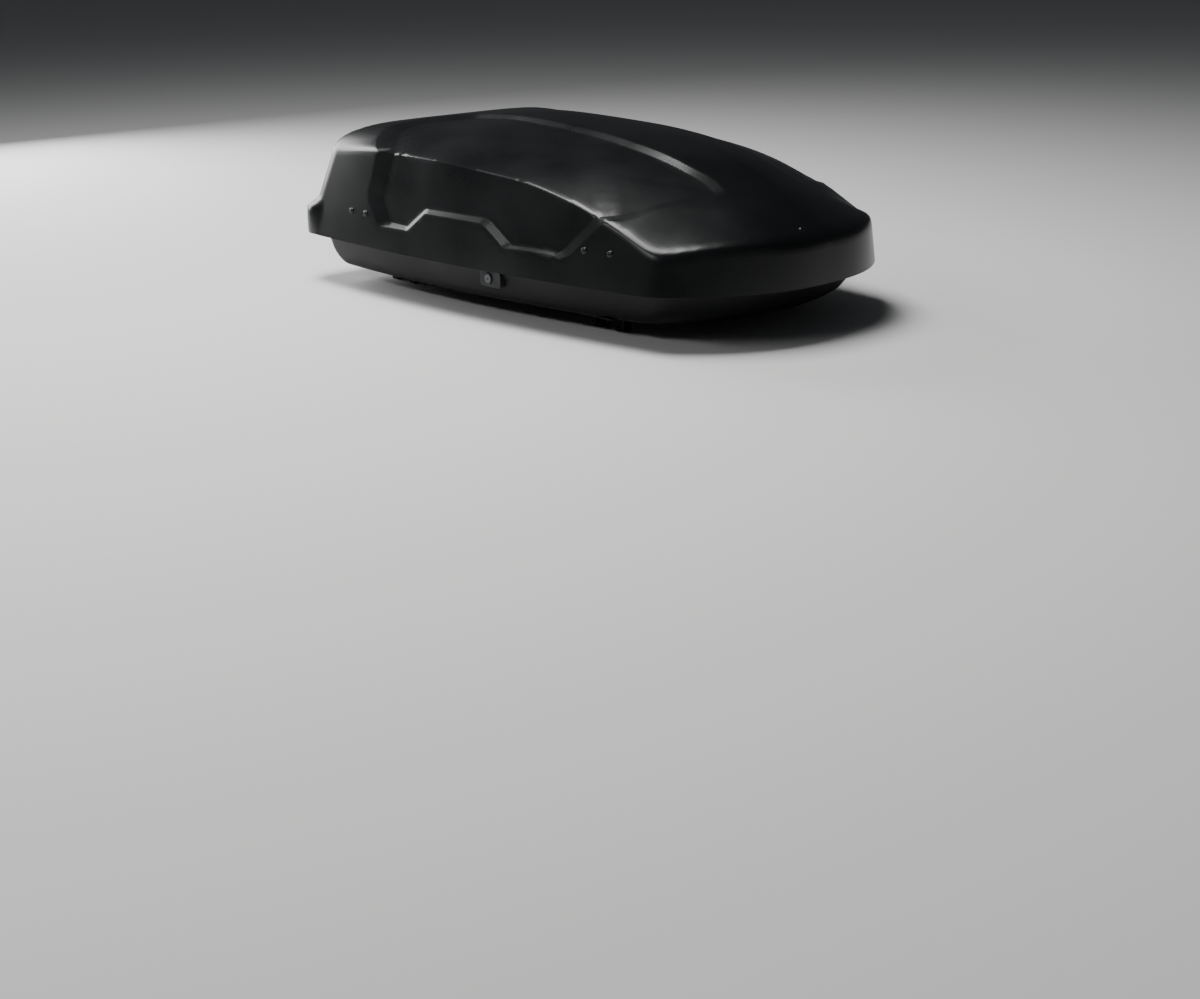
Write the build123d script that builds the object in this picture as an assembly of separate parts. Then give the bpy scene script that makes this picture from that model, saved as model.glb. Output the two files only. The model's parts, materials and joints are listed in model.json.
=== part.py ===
from build123d import *
import math
import os

# Roof cargo box, millimetres. +X is forward, +Y is left, +Z is up.
# The origin is under the middle of the box, level with the lowest point of its clamp claws.

# Heights
BAR_HEIGHT = 30.0
TOE_HEIGHT = 8.0
PAD_HEIGHT = 3.0
PAD_Z = TOE_HEIGHT + 1.0 + BAR_HEIGHT
TRAY_Z = PAD_Z + PAD_HEIGHT
PART_Z = TRAY_Z + 85.0
WALL = 4.0
FLOOR_Z = TRAY_Z + WALL
RIM_Z = PART_Z + 14.0

# Plan of the lid's lower edge
REAR_X = -697.5
NOSE_X = 697.5
REAR_HALF = 438.0
WIDEST_X = -289.0
WIDEST_HALF = 451.0
CORNER_X = 518.0
CORNER_HALF = 379.0
REAR_RADIUS = 65.0
NOSE_POWER = 2.48

# How far each wall leans inward for each millimetre of height
SIDE_LEAN = 0.194
REAR_LEAN = 0.36
NOSE_LEAN = 0.06

# The top of the lid above its lower edge: x, height on the centre line, height at the side crease,
# half the width there and how squarely the section turns down to it
TOP_STATIONS = (
    (-760.0, 238.0, 192.0, 395.0, 7.0),
    (-660.0, 255.0, 203.0, 398.0, 7.0),
    (-560.0, 272.0, 214.0, 399.0, 5.0),
    (-400.0, 291.0, 230.0, 403.0, 2.6),
    (-200.0, 302.0, 233.0, 406.0, 1.7),
    (0.0, 299.0, 222.0, 402.0, 1.5),
    (150.0, 291.0, 208.0, 391.0, 1.5),
    (300.0, 273.0, 173.0, 380.0, 1.5),
    (420.0, 244.0, 128.0, 370.0, 1.5),
    (520.0, 203.0, 90.0, 353.0, 1.5),
    (600.0, 160.0, 80.0, 346.0, 1.5),
    (660.0, 125.0, 78.0, 345.0, 1.5),
    (700.0, 99.0, 76.0, 345.0, 1.5),
    (780.0, 55.0, 55.0, 345.0, 1.5),
)

# The sunk panel on each side of the lid: x, height above the lid's lower edge
PANEL_DEPTH = 8.0
PANEL_OUTLINE = (
    (-350, 236),
    (-367, 159),
    (-377, 122),
    (-361, 98),
    (-324, 62),
    (-238, 62),
    (-178, 109),
    (25, 109),
    (40, 103),
    (109, 61),
    (262, 60),
    (281, 68),
    (364, 155),
    (330, 200),
    (120, 240),
    (-120, 258),
)

# Tray
TRAY_INSET = 40.0
TRAY_TAPER = 30.0
TRAY_NOSE_TAPER = 75.0

# Roof bars and their clamps
BAR_WIDTH = 80.0
BAR_XS = {"front": 280.0, "rear": -480.0}
CLAMP_Y = 255.0
CLAMP_SHIFT = 40.0
SIDES = {"left": 1, "right": -1}

# Hinge and latch line on each side
PIN_Y = 350.0
PIN_Z = PART_Z + 10.0
PIN_R = 5.0
HINGE_XS = (-430.0, -120.0, 180.0)
ARM_XS = {"front": 262.0, "rear": -545.0}
BEAM_X0, BEAM_X1 = -585.0, 360.0
FLANGE_Z = PIN_Z - 24.0
LATCH_TRAVEL = 14.0
LOCK_X = 10.0
LOCK_Z = PART_Z - 30.0
CRANK_R = LATCH_TRAVEL / 2 / math.sin(math.radians(45))

# Inner shelf of the lid
SHELF_Z = PART_Z + 78.0
SHELF_X0, SHELF_X1 = -600.0, 450.0
PLUG_XS = (-466.0, -405.0, 333.0, 402.0)
HOOD_PLUG = (662.0, -57.0)

# Clamp drive
PINION_R = 8.0
TEETH = 16
CLAW_TRAVEL = 24.0
RACK_Z = FLOOR_Z + 8.0
HOUSING_TOP = FLOOR_Z + 30.0


def half_width(x):
    """Half the width of the lid's lower edge at x, a shallow arc."""
    fall = (WIDEST_HALF - CORNER_HALF) / (CORNER_X - WIDEST_X) ** 2
    return WIDEST_HALF - fall * (x - WIDEST_X) ** 2


def box(x0, x1, y0, y1, z0, z1):
    """A block between two corners."""
    size = (abs(x1 - x0), abs(y1 - y0), abs(z1 - z0))
    middle = ((x0 + x1) / 2, (y0 + y1) / 2, (z0 + z1) / 2)
    return Pos(*middle) * Box(*size)


def rod(axis, radius, start, end, a, b):
    """A round bar along X, Y or Z from start to end, at a, b on the other two axes in order."""
    middle = (start + end) / 2
    bar = Cylinder(radius, abs(end - start))
    if axis == "X":
        return Pos(middle, a, b) * Rot(0, 90, 0) * bar
    if axis == "Y":
        return Pos(a, middle, b) * Rot(90, 0, 0) * bar
    return Pos(a, b, middle) * bar


def outline(z, inset, side_in, rear_in, nose_in):
    """The box's plan at height z: straight back, round corners, arced sides and a bowed nose."""
    rear = REAR_X + inset + rear_in
    radius = REAR_RADIUS - inset / 2
    trim = inset + side_in
    side_rear = REAR_HALF - trim
    side_wide = WIDEST_HALF - trim
    corner_x = CORNER_X - nose_in - inset * 0.35
    corner_half = CORNER_HALF - trim
    nose = NOSE_X - inset - nose_in
    half = [
        Line((rear, 0, z), (rear, side_rear - radius, z)),
        TangentArc(
            (rear, side_rear - radius, z),
            (rear + radius, side_rear, z),
            tangent=(0, 1, 0),
        ),
        ThreePointArc(
            (rear + radius, side_rear, z),
            (WIDEST_X, side_wide, z),
            (corner_x, corner_half, z),
        ),
    ]
    bow = [
        (corner_x + (nose - corner_x) * (1 - abs(s) ** NOSE_POWER), corner_half * s, z)
        for s in (1, 0.85, 0.6, 0.3, 0)
    ]
    half.append(Spline(*bow, tangents=[(1, -0.85, 0), (0, -1, 0)]))
    edges = [e for piece in half for e in piece.edges()]
    edges += [e.mirror(Plane.XZ) for e in edges]
    return Face(Wire(edges))


def station_height(x, column):
    """A smooth curve through one column of the top's stations."""
    last = len(TOP_STATIONS) - 2
    i = max(k for k in range(last + 1) if TOP_STATIONS[k][0] <= x or k == 0)
    before = TOP_STATIONS[max(i - 1, 0)]
    here, there = TOP_STATIONS[i], TOP_STATIONS[i + 1]
    after = TOP_STATIONS[min(i + 2, last + 1)]
    span = there[0] - here[0]
    slope_here = (there[column] - before[column]) / (there[0] - before[0])
    slope_there = (after[column] - here[column]) / (after[0] - here[0])
    t = (x - here[0]) / span
    return (
        (2 * t**3 - 3 * t**2 + 1) * here[column]
        + (t**3 - 2 * t**2 + t) * span * slope_here
        + (3 * t**2 - 2 * t**3) * there[column]
        + (t**3 - t**2) * span * slope_there
    )


def top_height(x, y):
    """Height of the lid's top above its lower edge."""
    crown, crease, half, power = (station_height(x, column) for column in (1, 2, 3, 4))
    reach = abs(y) / half
    curve = reach**power if reach < 1 else 1 + power * (reach - 1)
    return crown - (crown - crease) * curve


def above_top(drop):
    """All the space above the lid's top surface lowered by drop."""
    across = [500 * s / 11 for s in range(-11, 12)]
    along = [REAR_X - 40 + (NOSE_X - REAR_X + 80) * i / 24 for i in range(25)]
    grid = [[Vector(x, y, PART_Z + top_height(x, y) - drop) for y in across] for x in along]
    surface = Face.make_surface_from_array_of_points(grid)
    return Solid.extrude(surface, Vector(0, 0, 500))


def lid_form(inset):
    """The lid's solid form with every face moved in by inset."""
    rise = 330.0
    foot = outline(PART_Z, inset, 0, 0, 0)
    head = outline(
        PART_Z + rise, inset, SIDE_LEAN * rise, REAR_LEAN * rise, NOSE_LEAN * rise
    )
    walls = loft([foot, head], ruled=True)
    return walls - above_top(inset)


def panel_prism(side, grow):
    """One side panel seen from the side, as a prism that reaches well past the lid's wall."""
    lifted = [(x, PART_Z + z) for x, z in PANEL_OUTLINE]
    face = make_face(Polyline(*lifted, close=True))
    if grow:
        face = offset(face, amount=grow, kind=Kind.INTERSECTION)
    block = extrude(Plane.XZ * face, amount=110)
    return Pos(0, 500 if side > 0 else -390, 0) * block


def panel_sink(form, depth, grow):
    """What the side panels take off a form of the lid, down to depth below its outside."""
    panels = panel_prism(1, grow) + panel_prism(-1, grow)
    return (form - lid_form(depth)) & panels


def lid_cavity():
    """The space inside the lid, which follows the sunk panels."""
    cavity = lid_form(WALL)
    return cavity - panel_sink(cavity, PANEL_DEPTH + WALL, WALL)


def lid_shell():
    outer = lid_form(0)
    return outer - panel_sink(outer, PANEL_DEPTH, 0) - lid_cavity()


def tray_form(inset, top, bottom):
    """The tray's solid form, whose nose sweeps up from the floor."""
    foot_in = TRAY_INSET + TRAY_TAPER + inset
    head = outline(top, TRAY_INSET + inset, 0, 0, 0)
    foot = outline(bottom, foot_in, 0, 0, TRAY_NOSE_TAPER)
    body = loft([foot, head], ruled=True)
    edges = [e for e in body.edges() if abs(e.center().Z - bottom) < 0.1]
    try:
        body = fillet(edges, 12)
    except ValueError:
        pass
    return body


def base_tray():
    """The formed tray, as a floor pan and a wall that meet just above the floor's ribs."""
    outer = tray_form(0, RIM_Z, TRAY_Z)
    inner = tray_form(WALL, RIM_Z + 1, FLOOR_Z)
    tray = outer - inner
    for x in BAR_XS.values():
        tray += box(x - 70, x + 70, -330, 330, PAD_Z, TRAY_Z)
    for y in (-150, -75, 0, 75, 150):
        tray += box(-560, 420, y - 9, y + 9, FLOOR_Z, FLOOR_Z + 2.5)
    reach = BAR_WIDTH / 2 + 10 + CLAW_TRAVEL + CLAMP_SHIFT + 4
    for x in BAR_XS.values():
        for side in SIDES.values():
            y = side * CLAMP_Y
            tray -= box(x - reach, x + reach, y - 18, y + 18, PAD_Z - 1, FLOOR_Z + 1)
    for side in SIDES.values():
        tray -= rod("Y", 13.3, side * 330, side * 460, LOCK_X, LOCK_Z)
    pan = box(-700, 700, -460, 460, 0, FLOOR_Z + 3.5)
    return Compound(children=[*(tray & pan).solids(), *(tray - pan).solids()])


def side_beam(side):
    """A Z section standing on the tray floor, which carries the hinge seats and the latch."""
    web = box(BEAM_X0, BEAM_X1, 328, 330.5, FLOOR_Z, FLANGE_Z)
    foot = box(BEAM_X0, BEAM_X1, 304, 328, FLOOR_Z, FLOOR_Z + 2.5)
    flange = box(BEAM_X0, BEAM_X1, 330.5, 360, FLANGE_Z - 2.5, FLANGE_Z)
    beam = web + foot + flange
    for x in range(-520, 340, 80):
        if abs(x - LOCK_X) > 30:
            beam -= rod("Y", 14, 320, 335, x, FLOOR_Z + 36)
    beam -= box(LOCK_X - 28, LOCK_X + 28, 325, 365, LOCK_Z - 18, FLANGE_Z + 1)
    beam += box(LOCK_X - 40, LOCK_X + 40, 325.5, 328, FLOOR_Z + 2, FLANGE_Z)
    beam &= tray_form(WALL + 0.4, RIM_Z, FLOOR_Z)
    return beam if side > 0 else beam.mirror(Plane.XZ)


def hinge_seat(x):
    """Two cheeks with open-topped slots that a lid pin drops into."""
    block = box(x - 22, x + 22, PIN_Y - 11, PIN_Y + 10, FLANGE_Z, PIN_Z + 6)
    block -= box(x - 15, x + 15, PIN_Y - 20, PIN_Y + 20, FLANGE_Z + 5, PIN_Z + 7)
    block -= rod("X", PIN_R + 0.1, x - 30, x + 30, PIN_Y, PIN_Z)
    block -= box(x - 30, x + 30, PIN_Y - 5.1, PIN_Y + 5.1, PIN_Z, PIN_Z + 10)
    return block


def hinge_seats(side):
    seats = [hinge_seat(x) for x in HINGE_XS]
    if side < 0:
        seats = [seat.mirror(Plane.XZ) for seat in seats]
    return Compound(children=[solid for seat in seats for solid in seat.solids()])


def latch_rail(side):
    """A strip that slides along the beam; its fingers close over the pins' ends."""
    y0, y1 = PIN_Y - 15.5, PIN_Y - 12.5
    rail = box(HINGE_XS[0] - 30, HINGE_XS[-1] + 45, y0, y1, FLANGE_Z + 0.4, PIN_Z - 4)
    for x in HINGE_XS:
        rail += box(x + 28, x + 38, y0, y1, PIN_Z - 4, PIN_Z + 8.6)
        rail += box(x + 28, x + 38, y0, PIN_Y + 8, PIN_Z + 5.6, PIN_Z + 8.6)
    rail += box(LOCK_X - 18, LOCK_X + 4, y0, y1, LOCK_Z - 1, FLANGE_Z + 1)
    crank_x = LOCK_X - CRANK_R * math.sin(math.radians(45))
    rail -= box(crank_x - 2.6, crank_x + 2.6, y0 - 1, y1 + 1, LOCK_Z + 3, LOCK_Z + 14)
    return rail if side > 0 else rail.mirror(Plane.XZ)


def tray_wall_y(x, z):
    """The outer face of the tray's side at a height."""
    share = (RIM_Z - z) / (RIM_Z - TRAY_Z)
    return half_width(x) - TRAY_INSET - TRAY_TAPER * share


def lock_housing(side):
    """The moulded surround of the lock, which also holds its barrel."""
    face = tray_wall_y(LOCK_X, LOCK_Z)
    plate = box(LOCK_X - 30, LOCK_X + 42, face - 6, face + 7, LOCK_Z - 19, LOCK_Z + 19)
    plate = fillet(plate.edges().filter_by(Axis.Y), 9)
    plate += rod("Y", 13.2, face - 30, face + 10, LOCK_X, LOCK_Z)
    plate -= tray_form(0, RIM_Z, TRAY_Z) - tray_form(WALL, RIM_Z + 1, FLOOR_Z) - rod(
        "Y", 13.3, 330, 460, LOCK_X, LOCK_Z
    )
    plate = plate.solids().sort_by(Axis.Y)[-1]
    plate += rod("Y", 13.2, face - 30, face + 4, LOCK_X, LOCK_Z)
    plate -= rod("Y", 10.05, face - 40, face + 20, LOCK_X, LOCK_Z)
    return plate if side > 0 else plate.mirror(Plane.XZ)


def lock_cylinder(side):
    """The barrel with its keyway, and the crank on its inner end."""
    face = tray_wall_y(LOCK_X, LOCK_Z) + 10
    y_crank = PIN_Y - 11.5
    barrel = rod("Y", 10, y_crank + 3, face, LOCK_X, LOCK_Z)
    barrel -= box(LOCK_X - 4, LOCK_X + 4, face - 12, face + 1, LOCK_Z - 0.9, LOCK_Z + 0.9)
    barrel += rod("Y", 13, y_crank, y_crank + 3, LOCK_X, LOCK_Z)
    shift = CRANK_R * math.sin(math.radians(45))
    barrel += rod("Y", 2, PIN_Y - 17, y_crank + 1, LOCK_X - shift, LOCK_Z + shift)
    return barrel if side > 0 else barrel.mirror(Plane.XZ)


def lid_pins(side):
    pins = [rod("X", PIN_R, x - 24, x + 40, side * PIN_Y, PIN_Z) for x in HINGE_XS]
    return Compound(children=pins)


def lid_rail(side):
    """The lid's inner shelf along one side, with a lug down to each pin."""
    shelf = box(SHELF_X0, SHELF_X1, PIN_Y - 9, 470, SHELF_Z - 1.5, SHELF_Z + 1.5)
    rail = (shelf & lid_cavity()).solids().sort_by(SortBy.VOLUME)[-1]
    lip = box(SHELF_X0 + 30, SHELF_X1 - 120, PIN_Y - 9, PIN_Y - 6, SHELF_Z - 14, SHELF_Z)
    rail += lip
    for x in HINGE_XS:
        lug = box(x - 7, x + 7, PIN_Y - 9, PIN_Y + 9, PIN_Z, SHELF_Z)
        lug += rod("X", 9, x - 7, x + 7, PIN_Y, PIN_Z)
        rail += lug - rod("X", PIN_R, x - 9, x + 9, PIN_Y, PIN_Z)
    return rail if side > 0 else rail.mirror(Plane.XZ)


def lifter_arm(x):
    """A bar across the box with an eye at each end, bowed up to clear the load."""
    eyes = [rod("X", 11, x - 7, x + 7, s * PIN_Y, PIN_Z) for s in (1, -1)]
    rise = 14.0
    points = [
        (-PIN_Y + 9, PIN_Z - 5),
        (-PIN_Y + 60, PIN_Z - 5 + rise),
        (PIN_Y - 60, PIN_Z - 5 + rise),
        (PIN_Y - 9, PIN_Z - 5),
        (PIN_Y - 9, PIN_Z + 5),
        (PIN_Y - 60, PIN_Z + 5 + rise),
        (-PIN_Y + 60, PIN_Z + 5 + rise),
        (-PIN_Y + 9, PIN_Z + 5),
    ]
    profile = make_face(Polyline(*points, close=True))
    arm = Pos(x, 0, 0) * extrude(Plane.YZ * profile, amount=7, both=True)
    for eye in eyes:
        arm += eye
    for s in (1, -1):
        arm -= rod("X", PIN_R + 0.1, x - 10, x + 10, s * PIN_Y, PIN_Z)
    return arm


def base_bracket(x):
    """A clevis on the left beam that carries one lifter arm."""
    cheeks = []
    for x0 in (x - 12, x + 8):
        cheek = box(x0, x0 + 4, PIN_Y - 12, PIN_Y + 10, FLANGE_Z + 3, PIN_Z)
        cheek += rod("X", 10, x0, x0 + 4, PIN_Y, PIN_Z)
        cheeks.append(cheek)
    foot = box(x - 12, x + 12, PIN_Y - 12, PIN_Y + 10, FLANGE_Z, FLANGE_Z + 3)
    bracket = foot + cheeks[0] + cheeks[1]
    return bracket - rod("X", PIN_R, x - 20, x + 20, PIN_Y, PIN_Z)


def lid_bracket(x):
    """A hanging clevis on the lid's right shelf that carries one lifter arm."""
    y0, y1 = -PIN_Y - 9, -PIN_Y + 5.8
    bracket = box(x - 12, x + 12, y0, y1, SHELF_Z - 5, SHELF_Z - 1.5)
    for x0 in (x - 12, x + 8):
        bracket += box(x0, x0 + 4, y0, y1, PIN_Z, SHELF_Z - 3)
        bracket += rod("X", 9, x0, x0 + 4, -PIN_Y, PIN_Z)
    return bracket - rod("X", PIN_R, x - 20, x + 20, -PIN_Y, PIN_Z)


def spring_way(x):
    """The side of an arm that its spring stands on: away from the hinge seat beside it."""
    return 1 if x > 0 or x < HINGE_XS[0] else -1


def lifter_spring(x):
    """A coiled torsion spring in a pressed cup on the pivot, beside the arm."""
    way = spring_way(x)
    x0, x1 = sorted((x + 12 * way, x + 32 * way))
    cup = rod("X", 12.5, x0, x1, PIN_Y, PIN_Z)
    cup -= rod("X", PIN_R + 1, x0 - 1, x1 + 1, PIN_Y, PIN_Z)
    cup += box(x0, x1, PIN_Y - 8, PIN_Y + 8, FLANGE_Z, PIN_Z - 8)
    return cup


def clamp_track(x, side):
    """Two angle strips on the floor that hold a clamp's flanges and let it slide along."""
    y = side * CLAMP_Y
    length = 80 + CLAMP_SHIFT + 6
    strips = []
    for s in (1, -1):
        wall = box(x - length, x + length, y + s * 38.5, y + s * 42, FLOOR_Z, FLOOR_Z + 7)
        wall += box(x - length, x + length, y + s * 34.5, y + s * 42, FLOOR_Z + 4.5, FLOOR_Z + 7)
        strips.append(wall)
    return Compound(children=[s for strip in strips for s in strip.solids()])


def clamp_housing(x, side):
    """A case open at the bottom, with a flange each side and a bored boss for the knob's shaft."""
    y = side * CLAMP_Y
    z0 = FLOOR_Z + 0.4
    case = box(x - 80, x + 80, y - 30, y + 30, z0, HOUSING_TOP)
    case = fillet(case.edges().filter_by(Axis.Z), 14)
    case = chamfer(case.faces().sort_by(Axis.Z)[-1].edges(), 4)
    case -= box(x - 77, x + 77, y - 27, y + 27, z0 - 1, HOUSING_TOP - 3.5)
    case += box(x - 78, x + 78, y - 38, y - 29, z0, z0 + 3.6)
    case += box(x - 78, x + 78, y + 29, y + 38, z0, z0 + 3.6)
    for s in (1, -1):
        case += box(x - 40, x + 40, y + s * 17.4, y + s * 27.5, z0, HOUSING_TOP - 3)
    case += rod("Z", 12, HOUSING_TOP - 10, HOUSING_TOP + 2, x, y)
    case -= rod("Z", 5.05, z0 - 2, HOUSING_TOP + 4, x, y)
    return case


def clamp_shaft(x, side):
    """The shaft under the knob, ending in a pinion between the two racks."""
    y = side * CLAMP_Y
    shaft = rod("Z", 5, RACK_Z - 1, HOUSING_TOP + 12, x, y)
    step = 2 * math.pi / TEETH
    points = []
    for i in range(TEETH):
        middle = (i + 0.5) * step
        for radius, part in ((6.6, -0.26), (8.9, -0.1), (8.9, 0.1), (6.6, 0.26)):
            a = middle + part * step
            points.append((x + radius * math.cos(a), y + radius * math.sin(a)))
    gear = extrude(Pos(0, 0, RACK_Z - 1) * make_face(Polyline(*points, close=True)), amount=9)
    return shaft + gear


def clamp_knob(x, side):
    """A six-lobed grip on top of the clamp."""
    y = side * CLAMP_Y
    z0 = HOUSING_TOP + 2.5
    knob = rod("Z", 29, z0, z0 + 20, x, y)
    for i in range(6):
        a = math.radians(60 * i + 30)
        knob -= rod("Z", 11, z0 - 1, z0 + 21, x + 35 * math.cos(a), y + 35 * math.sin(a))
    knob = chamfer(knob.faces().sort_by(Axis.Z)[-1].edges(), 1.5)
    return knob - rod("Z", 5, z0 - 1, HOUSING_TOP + 12, x, y)


def claw(x, side, way):
    """A steel hook whose rack meets the pinion: way is 1 for the claw ahead of the bar, -1 behind."""
    inner = BAR_WIDTH / 2 + 2
    rack = box(-30, inner + 7, -17, -9.4, RACK_Z, RACK_Z + 7)
    pitch = 2 * math.pi * PINION_R / TEETH
    for i in range(-9, 2):
        c = i * pitch
        points = [(c - 0.95, -9.6), (c - 0.35, -7.2), (c + 0.35, -7.2), (c + 0.95, -9.6)]
        face = Pos(0, 0, RACK_Z) * make_face(Polyline(*points, close=True))
        rack += extrude(face, amount=7)
    rack += box(inner, inner + 7, -17, 14, RACK_Z, RACK_Z + 7)
    arm = box(inner, inner + 7, -14, 14, 0, RACK_Z + 7)
    toe = box(inner - 18, inner + 7, -14, 14, 0, TOE_HEIGHT)
    hook = rack + arm + toe
    corners = hook.edges().filter_by(Axis.Y).filter_by_position(Axis.Z, -1, 0.5)
    hook = fillet(corners.sort_by(Axis.X)[-1], 6)
    turned = hook if way > 0 else Rot(0, 0, 180) * hook
    return Pos(x, side * CLAMP_Y, 0) * turned


def lid_wall_y(x, z):
    """The outer face of the lid's side at a height."""
    return half_width(x) - SIDE_LEAN * (z - PART_Z)


def lid_plugs():
    """Domed heads that hold the shelves, a pair at each end of each side, and one on the hood."""
    skin = lid_form(0)
    hood = (HOOD_PLUG[0], HOOD_PLUG[1], PART_Z + top_height(*HOOD_PLUG) - 1)
    upright = Plane(hood, z_dir=(0.52, -0.1, 0.85))
    hood_dome = upright * (Pos(0, 0, -4.3) * Sphere(8)) & upright * Cylinder(7, 8)
    heads = [hood_dome - skin]
    for x in PLUG_XS:
        slope = 2 * (WIDEST_HALF - lid_wall_y(x, PART_Z)) / (x - WIDEST_X)
        for side in SIDES.values():
            place = (x, side * lid_wall_y(x, SHELF_Z), SHELF_Z)
            outward = Plane(place, z_dir=(slope, side, SIDE_LEAN))
            dome = outward * (Pos(0, 0, -4.3) * Sphere(8)) & outward * Cylinder(7, 8)
            heads.append(dome - skin)
    return Compound(children=[solid for head in heads for solid in head.solids()])


def tray_rivets():
    """Rivet heads through each beam's foot."""
    heads = []
    for x in range(-560, 260, 100):
        for side in SIDES.values():
            heads.append(rod("Z", 4.5, FLOOR_Z + 2.5, FLOOR_Z + 4.5, x, side * 316))
    return Compound(children=heads)


def base_pivot(x):
    """The pivot through the arm's left eye, its bracket and the spring cup."""
    reach = 34 * spring_way(x)
    return rod("X", PIN_R, x - math.copysign(14, reach), x + reach, PIN_Y, PIN_Z)


def lid_pivot(x):
    """The pivot through the arm's right eye and the lid's bracket."""
    return rod("X", PIN_R, x - 14, x + 14, -PIN_Y, PIN_Z)


def save(name, shape):
    export_step(shape, f"parts/{name}.step")


os.makedirs("parts", exist_ok=True)
save("lid_shell", lid_shell())
save("base_tray", base_tray())
save("lid_plugs", lid_plugs())
save("tray_rivets", tray_rivets())
for name, side in SIDES.items():
    save(f"side_beam_{name}", side_beam(side))
    save(f"hinge_seats_{name}", hinge_seats(side))
    save(f"latch_rail_{name}", latch_rail(side))
    save(f"lock_housing_{name}", lock_housing(side))
    save(f"lock_cylinder_{name}", lock_cylinder(side))
    save(f"lid_pins_{name}", lid_pins(side))
    save(f"lid_rail_{name}", lid_rail(side))
for end, x in ARM_XS.items():
    save(f"lifter_arm_{end}", lifter_arm(x))
    save(f"base_bracket_{end}", base_bracket(x))
    save(f"lid_bracket_{end}", lid_bracket(x))
    save(f"lifter_spring_{end}", lifter_spring(x))
    save(f"base_pivot_{end}", base_pivot(x))
    save(f"lid_pivot_{end}", lid_pivot(x))
for end, x in BAR_XS.items():
    for name, side in SIDES.items():
        where = f"{end}_{name}"
        save(f"clamp_track_{where}", clamp_track(x, side))
        save(f"clamp_housing_{where}", clamp_housing(x, side))
        save(f"clamp_shaft_{where}", clamp_shaft(x, side))
        save(f"clamp_knob_{where}", clamp_knob(x, side))
        save(f"claw_fore_{where}", claw(x, side, 1))
        save(f"claw_aft_{where}", claw(x, side, -1))
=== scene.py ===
"""Roof cargo box: a creased lid with sunk panels over a ribbed tray, with locks, clamps and lifters."""

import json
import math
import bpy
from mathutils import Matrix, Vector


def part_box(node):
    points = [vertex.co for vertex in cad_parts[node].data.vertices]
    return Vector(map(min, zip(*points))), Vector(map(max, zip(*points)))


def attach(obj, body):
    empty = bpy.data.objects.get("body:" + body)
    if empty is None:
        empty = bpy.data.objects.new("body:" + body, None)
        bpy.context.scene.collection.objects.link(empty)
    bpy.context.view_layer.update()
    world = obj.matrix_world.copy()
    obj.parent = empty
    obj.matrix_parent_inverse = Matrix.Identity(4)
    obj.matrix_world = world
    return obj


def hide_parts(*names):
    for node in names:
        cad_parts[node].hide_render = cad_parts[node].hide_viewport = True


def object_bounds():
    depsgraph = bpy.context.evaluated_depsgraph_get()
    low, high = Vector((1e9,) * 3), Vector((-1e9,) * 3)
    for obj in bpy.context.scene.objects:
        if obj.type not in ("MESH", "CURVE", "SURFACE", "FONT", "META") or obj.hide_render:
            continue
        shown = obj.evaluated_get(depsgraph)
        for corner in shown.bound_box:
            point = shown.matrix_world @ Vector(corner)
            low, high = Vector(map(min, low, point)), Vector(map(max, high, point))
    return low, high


bl_info = {
    "name": "Roof cargo box",
    "version": (1, 0, 0),
    "blender": (4, 5, 0),
    "location": "3D View > Sidebar > Roof box",
    "description": "Builds the looks of a two-way opening roof box around its packed frame",
    "category": "Object",
}

import bmesh
import bpy
import numpy as np
from bpy.props import FloatProperty, FloatVectorProperty, IntProperty, PointerProperty
from mathutils import Matrix, Vector
from mathutils.geometry import delaunay_2d_cdt

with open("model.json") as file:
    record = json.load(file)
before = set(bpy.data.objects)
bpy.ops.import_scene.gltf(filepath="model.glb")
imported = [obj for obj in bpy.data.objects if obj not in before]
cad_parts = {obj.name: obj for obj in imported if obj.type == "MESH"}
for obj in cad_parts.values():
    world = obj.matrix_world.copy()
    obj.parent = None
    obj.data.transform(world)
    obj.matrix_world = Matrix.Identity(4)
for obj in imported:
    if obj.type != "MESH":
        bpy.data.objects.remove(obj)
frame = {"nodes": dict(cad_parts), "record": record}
CAD_LOW, CAD_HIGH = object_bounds()
LID_LOW, LID_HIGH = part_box("lid_shell")
TRAY_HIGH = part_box("base_tray")[1]

SIDES = {"left": 1, "right": -1}
ENDS = ("front", "rear")
CLAMPS = [f"{end}_{side}" for end in ENDS for side in SIDES]

# Plan of the lid's lower edge, metres
REAR_X = LID_LOW.x
NOSE_X = LID_HIGH.x
REAR_HALF = 0.438
WIDEST_X = -0.289
WIDEST_HALF = 0.451
CORNER_X = 0.518
CORNER_HALF = 0.379
REAR_RADIUS = 0.065
NOSE_POWER = 2.48
SIDE_LEAN, REAR_LEAN, NOSE_LEAN = 0.194, 0.36, 0.06
HEAD_RISE = 0.33

# Top of the lid above its lower edge: x, height on the centre line, height at the side crease,
# half the width there and how squarely the section turns down to it
STATIONS = np.array(
    [
        (-0.760, 0.238, 0.192, 0.395, 7.0),
        (-0.660, 0.255, 0.203, 0.398, 7.0),
        (-0.560, 0.272, 0.214, 0.399, 5.0),
        (-0.400, 0.291, 0.230, 0.403, 2.6),
        (-0.200, 0.302, 0.233, 0.406, 1.7),
        (0.000, 0.299, 0.222, 0.402, 1.5),
        (0.150, 0.291, 0.208, 0.391, 1.5),
        (0.300, 0.273, 0.173, 0.380, 1.5),
        (0.420, 0.244, 0.128, 0.370, 1.5),
        (0.520, 0.203, 0.090, 0.353, 1.5),
        (0.600, 0.160, 0.080, 0.346, 1.5),
        (0.660, 0.125, 0.078, 0.345, 1.5),
        (0.700, 0.099, 0.076, 0.345, 1.5),
        (0.780, 0.055, 0.055, 0.345, 1.5),
    ]
)

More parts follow.
